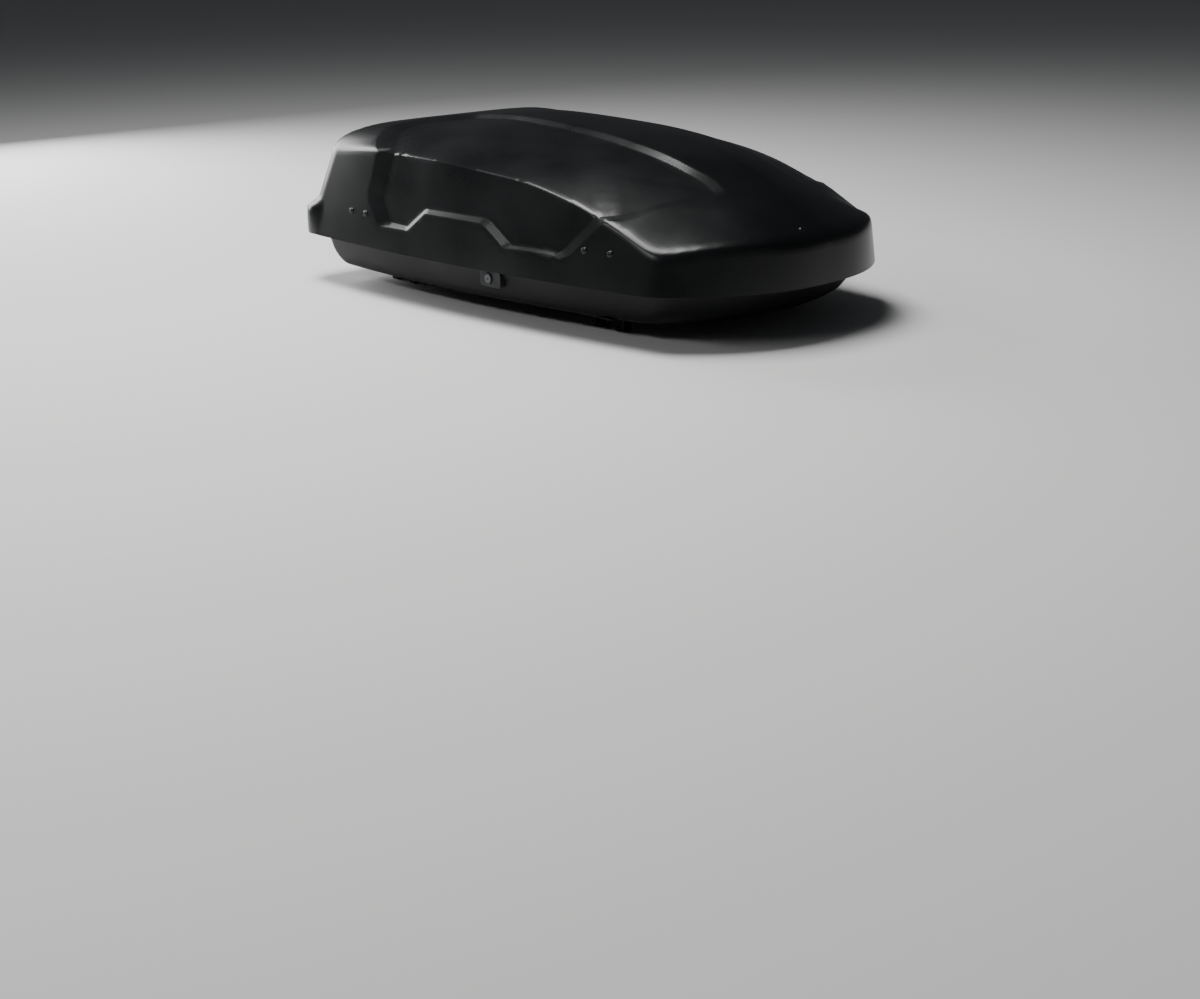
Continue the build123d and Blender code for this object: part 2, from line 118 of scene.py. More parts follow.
# Sunk region, matched corners of its outer and inner edge.
# On the side wall: x and height above the lid's lower edge, from the rear crease to the front one.
REAR_CROSSING = (-0.384, -0.322)
FRONT_CROSSING = (0.378, 0.350)
WALL_OUTER = [
    (-0.394, 0.159), (-0.405, 0.122), (-0.388, 0.098), (-0.344, 0.055), (-0.234, 0.057),
    (-0.176, 0.103), (0.022, 0.103), (0.034, 0.098), (0.100, 0.057), (0.276, 0.056),
    (0.296, 0.064),
]
WALL_INNER = [
    (-0.339, 0.159), (-0.348, 0.123), (-0.333, 0.098), (-0.310, 0.069), (-0.241, 0.067),
    (-0.179, 0.115), (0.028, 0.116), (0.047, 0.109), (0.118, 0.065), (0.252, 0.064),
    (0.267, 0.071),
]
# On the roof: x and distance from the centre line, from the rear crease to the front one.
ROOF_OUTER = [
    (-0.452, 0.355), (-0.490, 0.300), (-0.500, 0.245), (-0.485, 0.180), (-0.450, 0.130),
    (-0.381, 0.086), (-0.237, 0.077), (-0.074, 0.089), (0.088, 0.104), (0.215, 0.113),
    (0.319, 0.115), (0.386, 0.116), (0.459, 0.112), (0.502, 0.122), (0.490, 0.161),
    (0.462, 0.220), (0.434, 0.280), (0.424, 0.315), (0.408, 0.345),
]
ROOF_INNER = [
    (-0.386, 0.346), (-0.436, 0.298), (-0.452, 0.252), (-0.448, 0.198), (-0.414, 0.152),
    (-0.372, 0.103), (-0.237, 0.092), (-0.074, 0.104), (0.088, 0.119), (0.215, 0.129),
    (0.319, 0.132), (0.386, 0.134), (0.452, 0.134), (0.482, 0.140), (0.474, 0.158),
    (0.447, 0.214), (0.418, 0.274), (0.404, 0.306), (0.386, 0.338),
]

# Shelf plugs: places along each side, their height above the lid's lower edge, and the hood's one
PLUG_XS = (-0.466, -0.405, 0.333, 0.402)
PLUG_RISE = 0.078
HOOD_PLUG = (0.662, 0.057)
RIVET_PITCH = 0.100

# Tray: height, extra inset at the foot, whole inset at the back, extra inset at the nose
TRAY_FLOOR_Z = 0.042
TRAY_PROFILE = [
    (0.141, 0.0, 0.040, 0.0), (0.112, 0.0, 0.043, 0.004), (0.086, 0.0, 0.046, 0.009),
    (0.074, 0.0, 0.051, 0.016), (0.062, 0.0, 0.060, 0.031), (0.053, 0.0005, 0.070, 0.046),
    (0.047, 0.002, 0.079, 0.057), (0.0435, 0.005, 0.087, 0.066), (0.042, 0.010, 0.096, 0.076),
]
BAR_XS = sorted({round(m["pos_m"][0], 4) for m in frame["record"]["mounts"]})
PAD_HALF_X, PAD_HALF_Y, PAD_SLOPE, PAD_DROP = 0.076, 0.330, 0.006, 0.003
RIB_YS = (-0.150, -0.075, 0.0, 0.075, 0.150)
RIB_X0, RIB_X1, RIB_HALF, RIB_SLOPE, RIB_RISE = -0.545, 0.405, 0.012, 0.0055, 0.0035
SLOT_HALF_X, SLOT_HALF_Y = 0.118, 0.018

KNOB_RADIUS, KNOB_SCALLOP, KNOB_REACH = 0.0285, 0.011, 0.035
RIDGE_SIZE, RIDGE_RISE = 0.0009, 0.0096
SPRING_CUP, CUP_BORE, SPRING_WIRE = 0.0028, 0.0062, 0.00125

# Rear lip: where its flare stops growing and where it is gone, above the lid's lower edge
FLARE_FULL, FLARE_END = 0.068, 0.088

# Softboxes: place, target, size, watts
LIGHTS = {
    "overhead_softbox": ((-0.5, -0.9, 3.6), (0, 0, 0.3), (2.2, 1.4), 170),
    "rear_softbox": ((-3.5, -0.45, 1.5), (0, -0.4, 0.3), (2.0, 2.4), 120),
    "side_softbox": ((-0.4, -3.8, 2.5), (0, 0, 0.3), (3.0, 0.5), 40),
}
# Camera: azimuth, pitch and roll in degrees, then where it stands
CAMERA_TURN = (45.958, 19.806, -0.498)
CAMERA_PLACE = (2.8308, -2.7676, 0.8725)

CLAMP_SPOTS = {
    name: (sum((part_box(f"clamp_knob_{name}")[i] for i in (0, 1)), Vector()) / 2)
    for name in CLAMPS
}


def linear(code):
    """An sRGB hex colour as linear red, green, blue and alpha."""
    parts = [int(code[i : i + 2], 16) / 255 for i in (1, 3, 5)]
    return [c / 12.92 if c <= 0.04045 else ((c + 0.055) / 1.055) ** 2.4 for c in parts] + [1.0]


class LidSizes(bpy.types.PropertyGroup):
    """Sizes of the lid that a user would change."""

    wall: FloatProperty(
        name="Wall", description="Thickness of the formed sheet", default=0.0036, unit="LENGTH"
    )
    panel_depth: FloatProperty(
        name="Panel depth", description="How far the side panels are sunk", default=0.009, unit="LENGTH"
    )
    front_depth: FloatProperty(
        name="Front step", description="Sink at the panel's front end on the roof", default=0.004,
        unit="LENGTH",
    )
    edge: FloatProperty(
        name="Panel edge", description="Half width of the rounding along the panel's edges",
        default=0.0018, unit="LENGTH",
    )
    grid: FloatProperty(
        name="Mesh step", description="Distance between mesh points on the skin", default=0.012,
        unit="LENGTH",
    )
    side_round: FloatProperty(
        name="Side crease", description="Reach of the side crease's rounding", default=0.008,
        unit="LENGTH",
    )
    end_round: FloatProperty(
        name="End crease", description="Reach of the rounding at the nose and the back",
        default=0.017, unit="LENGTH",
    )
    flare: FloatProperty(
        name="Rear flare", description="How much the lower lip at the back stands out for its height",
        default=0.38,
    )


class FittingSizes(bpy.types.PropertyGroup):
    """Sizes of the small fittings."""

    plug_radius: FloatProperty(
        name="Plug radius", description="Radius of a shelf plug's head", default=0.0072, unit="LENGTH"
    )
    rivet_radius: FloatProperty(
        name="Rivet radius", description="Radius of a tray rivet's head", default=0.0045, unit="LENGTH"
    )
    grips: IntProperty(
        name="Knob ridges", description="Ridges round each clamp knob", default=36, min=6
    )
    turns: IntProperty(
        name="Spring turns", description="Turns of wire in each lifting spring", default=6, min=2
    )


class Finishes(bpy.types.PropertyGroup):
    """Colours of the main finishes."""

    shell: FloatVectorProperty(
        name="Shell", description="Lighter tone of the lid's formed ABS", subtype="COLOR",
        default=linear("#0D0F10")[:3], min=0, max=1,
    )
    tray: FloatVectorProperty(
        name="Tray", description="Lighter tone of the tray's formed ABS", subtype="COLOR",
        default=linear("#0D0E0F")[:3], min=0, max=1,
    )
    floor: FloatVectorProperty(
        name="Floor", description="Studio floor", subtype="COLOR", default=(0.80, 0.80, 0.79),
        min=0, max=1,
    )


def add_node(tree, kind, values=None, links=None, **settings):
    """One node with its settings, its inputs' values and what feeds them."""
    node = tree.nodes.new(kind)
    for key, value in settings.items():
        setattr(node, key, value)
    for key, value in (values or {}).items():
        node.inputs[key].default_value = value
    for key, source in (links or {}).items():
        tree.links.new(source, node.inputs[key])
    return node


# Name: dark and light tone, grain size in mm, low and high roughness, bump depth in mm, metallic,
# broad mottling size in mm. The two ABS finishes take their light tone from the Finishes settings.
FINISHES = {
    # Formed ABS with a fine pebble: soft satin sheen, near black, a faint mottle of handling
    "lid_abs": ("#060708", None, 1.1, 0.26, 0.34, 0.03, 0.0, 160),
    # The tray's ABS is formed grain side out: coarser pebble, duller
    "tray_abs": ("#060607", None, 2.2, 0.40, 0.52, 0.12, 0.0, 120),
    # Moulded plugs: smooth, slightly shinier than the sheet round them
    "plug_plastic": ("#0C0D0E", "#151617", 0.8, 0.22, 0.34, 0.01, 0.0, 12),
    # Bright zinc plate: pale, bluish, with a soft cloudy bloom
    "zinc_steel": ("#8F9396", "#C0C3C5", 2.0, 0.24, 0.40, 0.01, 1.0, 14),
    # Mill-finish extrusion: pale, with fine die lines along its length
    "mill_aluminium": ("#94979A", "#BCBEC0", 1.2, 0.30, 0.46, 0.02, 1.0, 40),
    # Hot-dip galvanising: grey crystals of different tone
    "galvanised_steel": ("#70757A", "#A0A4A8", 9.0, 0.34, 0.52, 0.02, 1.0, 60),
    # Black powder coat: orange peel and a low sheen
    "black_steel": ("#101112", "#1C1D1F", 1.6, 0.34, 0.48, 0.05, 0.0, 40),
    # Glass-filled nylon: dull, with a dry flow bloom
    "moulded_nylon": ("#151618", "#232527", 1.0, 0.48, 0.66, 0.03, 0.0, 26),
    # Grip plastic: mid grey, spark-eroded texture
    "grip_plastic": ("#474B4F", "#5C6064", 0.9, 0.50, 0.64, 0.06, 0.0, 20),
    # Dipped rubber: matt black with slight sags
    "dipped_rubber": ("#101010", "#1D1D1D", 3.0, 0.66, 0.82, 0.08, 0.0, 24),
    # Dull nickel on the lock barrel: grey, softly brushed
    "lock_chrome": ("#3A3D40", "#5C6063", 0.7, 0.18, 0.32, 0.008, 1.0, 10),
}
MADE = {}
STRETCHED = {"mill_aluminium": (0.04, 1.0, 1.0)}


def finish_material(name):
    """The procedural material of one finish, made once."""
    if name in MADE:
        return MADE[name]
    dark, light, grain, low, high, depth, metallic, mottle = FINISHES[name]
    material = MADE[name] = bpy.data.materials.new("finish_" + name)
    material.use_nodes = True
    tree = material.node_tree
    shader = tree.nodes["Principled BSDF"]
    shader.inputs["Metallic"].default_value = metallic
    if not metallic:
        shader.inputs["IOR"].default_value = 1.5
        # the tray's coarse grain breaks up its reflections
        shader.inputs["Specular IOR Level"].default_value = 0.2 if name == "tray_abs" else 0.42
    place = add_node(tree, "ShaderNodeTexCoord").outputs["Object"]
    if name in STRETCHED:
        place = add_node(
            tree, "ShaderNodeMapping", {"Scale": STRETCHED[name]}, {"Vector": place}
        ).outputs["Vector"]
    broad = add_node(
        tree, "ShaderNodeTexNoise", {"Scale": 1000 / mottle, "Detail": 4.0}, {"Vector": place}
    ).outputs["Fac"]
    fine = add_node(
        tree, "ShaderNodeTexNoise", {"Scale": 1000 / grain, "Detail": 2.0}, {"Vector": place}
    ).outputs["Fac"]
    if name == "galvanised_steel":
        fine = add_node(
            tree, "ShaderNodeTexVoronoi", {"Scale": 1000 / grain}, {"Vector": place}
        ).outputs["Color"]
    tone = add_node(
        tree, "ShaderNodeMix", {"Factor": 0.45}, {2: broad, 3: fine}, data_type="FLOAT"
    ).outputs[0]
    ramp = add_node(tree, "ShaderNodeValToRGB", None, {"Fac": tone})
    ramp.color_ramp.elements[0].position = 0.3
    ramp.color_ramp.elements[1].position = 0.7
    ramp.color_ramp.elements[0].color = linear(dark)
    if light is None:
        colours = bpy.context.scene.roofbox_finishes
        tint = colours.shell if name == "lid_abs" else colours.tray
        ramp.color_ramp.elements[1].color = [*tint, 1.0]
    else:
        ramp.color_ramp.elements[1].color = linear(light)
    tree.links.new(ramp.outputs["Color"], shader.inputs["Base Color"])
    sheen = add_node(
        tree,
        "ShaderNodeMapRange",
        {"From Min": 0.3, "From Max": 0.7, "To Min": low, "To Max": high},
        {"Value": broad},
    ).outputs["Result"]
    tree.links.new(sheen, shader.inputs["Roughness"])
    bump = add_node(
        tree, "ShaderNodeBump", {"Strength": 0.5, "Distance": depth / 1000}, {"Height": fine}
    ).outputs["Normal"]
    tree.links.new(bump, shader.inputs["Normal"])
    return material


def publish(mesh, name, body, slot, stands_for=()):
    """An object of a finished mesh that rides on a body and takes a slot's finish."""
    piece = bpy.data.objects.new(name, mesh)
    bpy.context.scene.collection.objects.link(piece)
    mesh.materials.clear()
    mesh.materials.append(finish_material(slot))
    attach(piece, body)
    if stands_for:
        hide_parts(*stands_for)
    return piece


def baked(piece):
    """A plain mesh of what an object's modifiers make of it."""
    bpy.context.view_layer.update()
    graph = bpy.context.evaluated_depsgraph_get()
    return bpy.data.meshes.new_from_object(piece.evaluated_get(graph))


def hermite(x, column):
    """A station column at x, smooth through every station."""
    keys, levels = STATIONS[:, 0], STATIONS[:, column]
    slopes = np.gradient(levels, keys)
    slopes[1:-1] = (levels[2:] - levels[:-2]) / (keys[2:] - keys[:-2])
    i = np.clip(np.searchsorted(keys, x, side="right") - 1, 0, len(keys) - 2)
    span = keys[i + 1] - keys[i]
    t = (x - keys[i]) / span
    return (
        (2 * t**3 - 3 * t**2 + 1) * levels[i]
        + (t**3 - 2 * t**2 + t) * span * slopes[i]
        + (3 * t**2 - 2 * t**3) * levels[i + 1]
        + (t**3 - t**2) * span * slopes[i + 1]
    )


def roof_height(x, y):
    """Height of the roof above the lid's lower edge."""
    x = np.clip(x, STATIONS[0, 0], STATIONS[-1, 0])
    crown, crease, half, power = (hermite(x, column) for column in (1, 2, 3, 4))
    reach = np.abs(y) / half
    curve = np.where(reach < 1, reach**power, 1 + power * (reach - 1))
    return crown - (crown - crease) * curve


def arc_through(a, b, c, count):
    """Points on the circle through three plan points, from a to c."""
    a, b, c = (np.array(p, float) for p in (a, b, c))
    m = 2 * np.array([b - a, c - a])
    centre = np.linalg.solve(m, [b @ b - a @ a, c @ c - a @ a])
    start, end = (math.atan2(*(p - centre)[::-1]) for p in (a, c))
    angles = np.linspace(start, end, count)
    return centre + np.linalg.norm(a - centre) * np.stack([np.cos(angles), np.sin(angles)], 1)


def half_plan(inset, side_in, rear_in, nose_in):
    """The left half of the box's plan as close points, from the middle of the back to the nose."""
    rear, radius = REAR_X + inset + rear_in, REAR_RADIUS - inset / 2
    side_in = side_in + inset
    side_rear = REAR_HALF - side_in
    corner = np.array([CORNER_X - nose_in - inset * 0.35, CORNER_HALF - side_in])
    back = np.linspace((rear, 0), (rear, side_rear - radius), 160)
    turn = np.linspace(math.pi, math.pi / 2, 50)
    bend = np.array([rear + radius, side_rear - radius]) + radius * np.stack(
        [np.cos(turn), np.sin(turn)], 1
    )
    flank = arc_through(
        (rear + radius, side_rear), (WIDEST_X, WIDEST_HALF - side_in), corner, 500
    )
    s = np.linspace(1, 0, 200)
    length = NOSE_X - inset - nose_in - corner[0]
    nose = np.stack([corner[0] + length * (1 - s**NOSE_POWER), corner[1] * s], 1)
    plan = np.concatenate([back, bend[1:], flank[1:], nose[1:]])
    kink = len(back) + len(bend) + len(flank) - 3
    span = slice(kink - 34, kink + 34)
    for _ in range(110):  # softens the front corner
        smooth = (plan[:-2] + 2 * plan[1:-1] + plan[2:]) / 4
        plan[span] = smooth[kink - 35 : kink + 33]
    return plan


class Skin:
    """The lid's outer skin on the left half: a roof and a wall that meet at a crease."""

    def __init__(self, sizes):
        self.foot = half_plan(0, 0, 0, 0)
        self.head = half_plan(0, *(lean * HEAD_RISE for lean in (SIDE_LEAN, REAR_LEAN, NOSE_LEAN)))
        level = np.full(len(self.foot), 0.2)
        for _ in range(80):
            plan = self.at_height(level)
            level = 0.5 * level + 0.5 * roof_height(plan[:, 0], plan[:, 1])
        self.plan, self.level = self.at_height(level), level
        self.crease = np.column_stack([self.plan, level])
        self.base = np.column_stack([self.foot, np.zeros(len(level))])
        self.drop = np.linalg.norm(self.crease - self.base, axis=1)
        steps = np.linalg.norm(np.diff(self.plan, axis=0), axis=1)
        self.along = np.concatenate([[0], np.cumsum(steps)])
        tangent = np.gradient(self.plan, axis=0)
        tangent[0], tangent[-1] = (0, 1), (0, -1)
        tangent /= np.linalg.norm(tangent, axis=1)[:, None]
        self.outward = np.stack([-tangent[:, 1], tangent[:, 0]], 1)
        x = self.plan[:, 0]
        rear = np.clip((-0.60 - x) / 0.05, 0, 1)
        nose = np.clip((x - 0.45) / 0.08, 0, 1)
        self.reach = sizes.side_round + (sizes.end_round - sizes.side_round) * np.maximum(rear, nose)
        inside = self.plan - self.outward * self.reach[:, None]
        self.roof_side = np.column_stack([inside, roof_height(inside[:, 0], inside[:, 1])])
        share = (self.reach / self.drop)[:, None]
        self.wall_side = self.crease * (1 - share) + self.base * share
        self.flare = sizes.flare

    def at_height(self, z):
        share = (np.asarray(z) / HEAD_RISE)[:, None]
        return self.foot * (1 - share) + self.head * share

    def sample(self, table, a):
        """A table along the crease at distances a."""
        if table.ndim == 1:
            return np.interp(a, self.along, table)
        return np.stack([np.interp(a, self.along, c) for c in table.T], 1)

    def bent(self, a, u):
        """Points on the crease's rounding, u from 0 on the roof to 1 on the wall."""
        u = u[:, None]
        return (
            (1 - u) ** 2 * self.sample(self.roof_side, a)
            + 2 * u * (1 - u) * self.sample(self.crease, a)
            + u**2 * self.sample(self.wall_side, a)
        )

    def nearest(self, points):
        """Distance along the crease of the closest place to each plan point, and how far off it is."""
        along, off = np.zeros(len(points)), np.zeros(len(points))
        starts, ways = self.plan[:-1], np.diff(self.plan, axis=0)
        length = (ways**2).sum(1)
        for i, p in enumerate(points):
            t = np.clip(((p - starts) * ways).sum(1) / length, 0, 1)
            gap = np.linalg.norm(starts + ways * t[:, None] - p, axis=1)
            k = int(gap.argmin())
            off[i] = gap[k]
            along[i] = self.along[k] + t[k] * (self.along[k + 1] - self.along[k])
        return along, off

    def roof(self, points):
        """Roof points over plan points, rounded towards the crease."""
        points = np.asarray(points, float)
        place = np.column_stack([points, roof_height(points[:, 0], points[:, 1])])
        along, off = self.nearest(points)
        reach = self.sample(self.reach, along)
        near = off < reach
        bent = self.bent(along, 0.5 * (reach - off) / reach)
        place[near] = bent[near]
        return place

    def wall(self, points):
        """Wall points at a distance along the crease and a distance down from it."""
        points = np.asarray(points, float)
        along, down = points[:, 0], points[:, 1]
        share = (down / self.sample(self.drop, along))[:, None]
        place = self.sample(self.crease, along) * (1 - share) + self.sample(self.base, along) * share
        reach = self.sample(self.reach, along)
        near = down < reach
        bent = self.bent(along, 0.5 + 0.5 * np.minimum(down / reach, 1))
        place[near] = bent[near]
        z = place[:, 2]
        fade = np.clip((FLARE_END - z) / (FLARE_END - FLARE_FULL), 0, 1)
        lip = self.flare * np.where(z < FLARE_FULL, z, FLARE_FULL * fade)
        back = np.clip((-0.600 - place[:, 0]) / 0.06, 0, 1)
        place[:, :2] += self.sample(self.outward, along) * (lip * back * back * (3 - 2 * back))[:, None]
        place[:, 0] = np.maximum(place[:, 0], REAR_X)
        return place

    def on_wall(self, x, z):
        """The wall's own coordinates of the place at x and height z on the flank."""
        plan = self.at_height(np.full(len(self.foot), z))
        flank = plan[:, 1] > 0.3
        i = np.interp(x, plan[flank, 0], np.nonzero(flank)[0])
        along = float(np.interp(i, range(len(self.along)), self.along))
        level = float(self.sample(self.level, along))
        return along, float(self.sample(self.drop, along)) * (1 - z / level)

    def crossing(self, x):
        """Distance along the crease where it passes x on the flank."""
        flank = self.plan[:, 1] > 0.3
        return float(np.interp(x, self.plan[flank, 0], self.along[flank]))


def divided(path, step):
    """A path with points no further apart than step, and matched extra values kept in line."""
    out = []
    for a, b in zip(path[:-1], path[1:]):
        count = max(1, math.ceil(np.linalg.norm((b - a)[:2]) / step))
        out += [a + (b - a) * i / count for i in range(count)]
    return np.array(out + [path[-1]])


def panel_rows(outer, inner, edge, depths):
    """Four rows of points along a panel's border: x, y and the depth sunk at each."""
    outer, inner, depths = np.array(outer), np.array(inner), np.array(depths)
    width = np.linalg.norm(inner - outer, axis=1)
    share = np.minimum(edge / width, 0.4)
    rows = []
    none, full = 0 * share, 1 + 0 * share
    for part, sunk in (
        (-share, none), (share, share), (1 - share, 1 - share), (1 + share, full)
    ):
        place = outer + (inner - outer) * part[:, None]
        rows.append(divided(np.column_stack([place, sunk * depths]), 0.012))
    return rows


def inside(points, polygon):
    """Which points lie inside a polygon."""
    x, y = points[:, 0], points[:, 1]
    result = np.zeros(len(points), bool)
    for (ax, ay), (bx, by) in zip(polygon, np.roll(polygon, -1, axis=0)):
        if ay != by:
            result ^= ((ay > y) != (by > y)) & (x < (bx - ax) * (y - ay) / (by - ay) + ax)
    return result


def distance_to(points, paths):
    """Shortest distance from each point to any of the paths."""
    best = np.full(len(points), 9.0)
    for path in paths:
        for a, b in zip(path[:-1, :2], path[1:, :2]):
            way = b - a
            size = way @ way
            t = np.clip(((points - a) @ way) / size, 0, 1) if size else np.zeros(len(points))
            best = np.minimum(best, np.linalg.norm(a + t[:, None] * way - points, axis=1))
    return best


def triangulated(border, sunk_border, rows, step, mouth):
    """Points, sunk depths and triangles that fill a border and follow the rows of a panel in it."""
    low, high = border.min(0), border.max(0)
    xs = np.arange(low[0] + step / 2, high[0], step)
    ys = np.arange(low[1] + step / 2, high[1], step)
    grid = np.array([(x + (j % 2) * step / 2, y) for j, y in enumerate(ys) for x in xs])
    closed = np.vstack([border, border[:1]])
    keep = inside(grid, border) & (distance_to(grid, [closed]) > 0.35 * step)
    strip = np.vstack([rows[0][:, :2], rows[-1][::-1, :2]])
    keep &= ~inside(grid, strip) & (distance_to(grid, rows) > 0.4 * step)
    grid = grid[keep]
    sunk = inside(grid, np.vstack([rows[-1][:, :2], mouth[::-1]]))
    depth = rows[-1][:, 2]
    nearest = np.array([depth[np.linalg.norm(rows[-1][:, :2] - p, axis=1).argmin()] for p in grid])
    # away from the border the panel takes its main depth
    gap = distance_to(grid, [rows[-1]])
    ease = np.clip(gap / 0.12, 0, 1)
    main = depth.max()
    grid_depth = np.where(sunk, nearest * (1 - ease) + main * ease, 0.0)
    points = [tuple(p) for p in border]
    depths = list(sunk_border)
    edges = [(i, (i + 1) % len(border)) for i in range(len(border))]
    lookup = {tuple(np.round(p, 6)): i for i, p in enumerate(border)}
    for row in rows:
        last = None
        for x, y, d in row:
            key = tuple(np.round((x, y), 6))
            i = lookup.get(key)
            if i is None:
                i = len(points)
                points.append((x, y))
                depths.append(d)
                lookup[key] = i
            else:
                depths[i] = d
            if last is not None and last != i:
                edges.append((last, i))
            last = i
    points += [tuple(p) for p in grid]
    depths += list(grid_depth)
    flat = [Vector(p) for p in points]
    out, _, faces, origin, _, _ = delaunay_2d_cdt(flat, edges, [], 1, 1e-6)
    depths = np.array(depths)
    known = np.array([depths[o[0]] if o else np.nan for o in origin])
    places = np.array([tuple(v) for v in out])
    for i in np.nonzero(np.isnan(known))[0]:
        known[i] = depths[np.linalg.norm(np.array(points) - places[i], axis=1).argmin()]
    return places, known, faces


def crease_steps(skin, specials, step):
    """Distances along the crease of its mesh points, with the panel's crossings among them."""
    total = skin.along[-1]
    plain = np.linspace(0, total, int(total / step) + 1)
    plain = [a for a in plain if min(abs(a - s) for s in specials) > 0.4 * step]
    return np.array(sorted(set(plain) | set(specials)))


def lid_mesh(sizes):
    """The lid's skin as one closed sheet, both halves."""
    skin = Skin(sizes)
    step, edge, deep = sizes.grid, sizes.edge, sizes.panel_depth

    def ends(crossing):
        outer, inner = (skin.crossing(x) for x in crossing)
        share = edge / abs(inner - outer)
        return [outer + (inner - outer) * p for p in (-share, share, 1 - share, 1 + share)]

    rear_ends, front_ends = ends(REAR_CROSSING), ends(FRONT_CROSSING)
    steps = crease_steps(skin, rear_ends + front_ends, 0.009)
    crease = skin.sample(skin.plan, steps)
    share = edge / abs(rear_ends[0] - rear_ends[3])
    profile = deep * np.array([0, share, 1 - share, 1])
    crease_depth = np.interp(steps, rear_ends + front_ends[::-1], [*profile, *profile[::-1]])

    # wall, flattened: distance along the crease and distance down from it
    outer = [skin.on_wall(*p) for p in WALL_OUTER]
    inner = [skin.on_wall(*p) for p in WALL_INNER]
    rows = panel_rows(outer, inner, edge, [deep] * len(outer))
    rows = [
        np.vstack([[(r, 0, row[0, 2])], row, [(f, 0, row[-1, 2])]])
        for r, f, row in zip(rear_ends, front_ends, rows)
    ]
    rows = [divided(row, 0.012) for row in rows]
    top = np.column_stack([steps, 0 * steps])
    bottom = np.column_stack([steps, skin.sample(skin.drop, steps)])
    rise = np.linspace(0, 1, 18)[1:-1, None]
    border = np.vstack([top, top[-1] + (bottom[-1] - top[-1]) * rise, bottom[::-1],
                        bottom[0] + (top[0] - bottom[0]) * rise])
    sunk_border = np.concatenate([crease_depth, np.zeros(len(border) - len(steps))])
    held = (steps > rear_ends[3]) & (steps < front_ends[3])
    flat, depth_wall, faces_wall = triangulated(border, sunk_border, rows, step, top[held])
    wall = skin.wall(flat)

    # roof, seen from above
    fade = np.interp([p[0] for p in ROOF_OUTER], [0.30, 0.47], [1, 0])
    front = np.arange(len(ROOF_OUTER)) >= 13
    depths = np.where(front, sizes.front_depth, deep * fade + sizes.front_depth * (1 - fade))
    rows = panel_rows(ROOF_OUTER, ROOF_INNER, edge, depths)
    joined = []
    for k, (r, f, row) in enumerate(zip(rear_ends, front_ends, rows)):
        share = (0, edge / 0.06, 1 - edge / 0.06, 1)[k]
        first = np.append(skin.sample(skin.plan, np.array([r]))[0], deep * share)
        last = np.append(skin.sample(skin.plan, np.array([f]))[0], deep * share)
        joined.append(divided(np.vstack([[first], row, [last]]), 0.012))
    spine = np.linspace(crease[-1], crease[0], 110)[1:-1]
    border = np.vstack([crease, spine])
    sunk_border = np.concatenate([crease_depth, np.zeros(len(spine))])
    flat, depth_roof, faces_roof = triangulated(border, sunk_border, joined, step, crease[held])
    roof = skin.roof(flat)

    shape = bmesh.new()
    sunk = shape.verts.layers.float.new("sunk")
    for places, depths, faces in ((wall, depth_wall, faces_wall), (roof, depth_roof, faces_roof)):
        for mirror in (1, -1):
            made = []
            for (x, y, z), d in zip(places, depths):
                vertex = shape.verts.new((x, y * mirror if abs(y) > 1e-7 else 0, z + LID_LOW.z))
                vertex[sunk] = d
                made.append(vertex)
            for face in faces:
                if len(set(face)) > 2:
                    shape.faces.new([made[i] for i in face])
    bmesh.ops.remove_doubles(shape, verts=shape.verts, dist=2e-5)
    bmesh.ops.recalc_face_normals(shape, faces=shape.faces)
    if sum(f.normal.z * f.calc_area() for f in shape.faces) < 0:
        bmesh.ops.reverse_faces(shape, faces=shape.faces)
    shape.normal_update()
    for vertex in shape.verts:
        vertex.co -= vertex.normal * vertex[sunk]
    mesh = bpy.data.meshes.new("lid_skin")
    shape.to_mesh(mesh)
    shape.free()
    mesh.shade_smooth()
    return mesh


class BOX_OT_lid(bpy.types.Operator):
    """Make the lid's creased shell with its sunk side panels"""

    bl_idname = "roofbox.lid"
    bl_label = "Lid"

    def execute(self, context):
        sizes = context.scene.roofbox_lid
        mesh = lid_mesh(sizes)
        rough = bpy.data.objects.new("lid_rough", mesh)
        context.scene.collection.objects.link(rough)
        wall = rough.modifiers.new("wall", "SOLIDIFY")
        wall.thickness = sizes.wall
        wall.offset = -1
        piece = publish(baked(rough), "lid_skin", "lid", "lid_abs", ["lid_shell"])
        piece.data.set_sharp_from_angle(angle=math.radians(55))
        bpy.data.objects.remove(rough)
        return {"FINISHED"}


def lathe(profile, count, lobes=None):
    """A closed turned shape from its half profile (radius, height), with an optional radius by angle."""
    shape = bmesh.new()
    rings = []
    for radius, height in profile:
        if radius < 1e-6:
            rings.append([shape.verts.new((0, 0, height))])
            continue
        ring = []
        for k in range(count):
            angle = 2 * math.pi * k / count
            r = radius * (lobes(angle) if lobes else 1)
            ring.append(shape.verts.new((r * math.cos(angle), r * math.sin(angle), height)))
        rings.append(ring)
    for low, high in zip(rings[:-1], rings[1:]):
        for k in range(count):
            corners = [low[k % len(low)], low[(k + 1) % len(low)]]
            corners += [high[(k + 1) % len(high)], high[k % len(high)]]
            corners = list(dict.fromkeys(corners))
            if len(corners) > 2:
                shape.faces.new(corners)
    bmesh.ops.recalc_face_normals(shape, faces=shape.faces)
    return shape


def as_mesh(shape, name, smooth_angle=math.radians(35)):
    """A bmesh as a named mesh, shaded smooth except across sharp edges."""
    mesh = bpy.data.meshes.new(name)
    shape.to_mesh(mesh)
    shape.free()
    mesh.shade_smooth()
    mesh.set_sharp_from_angle(angle=smooth_angle)
    return mesh


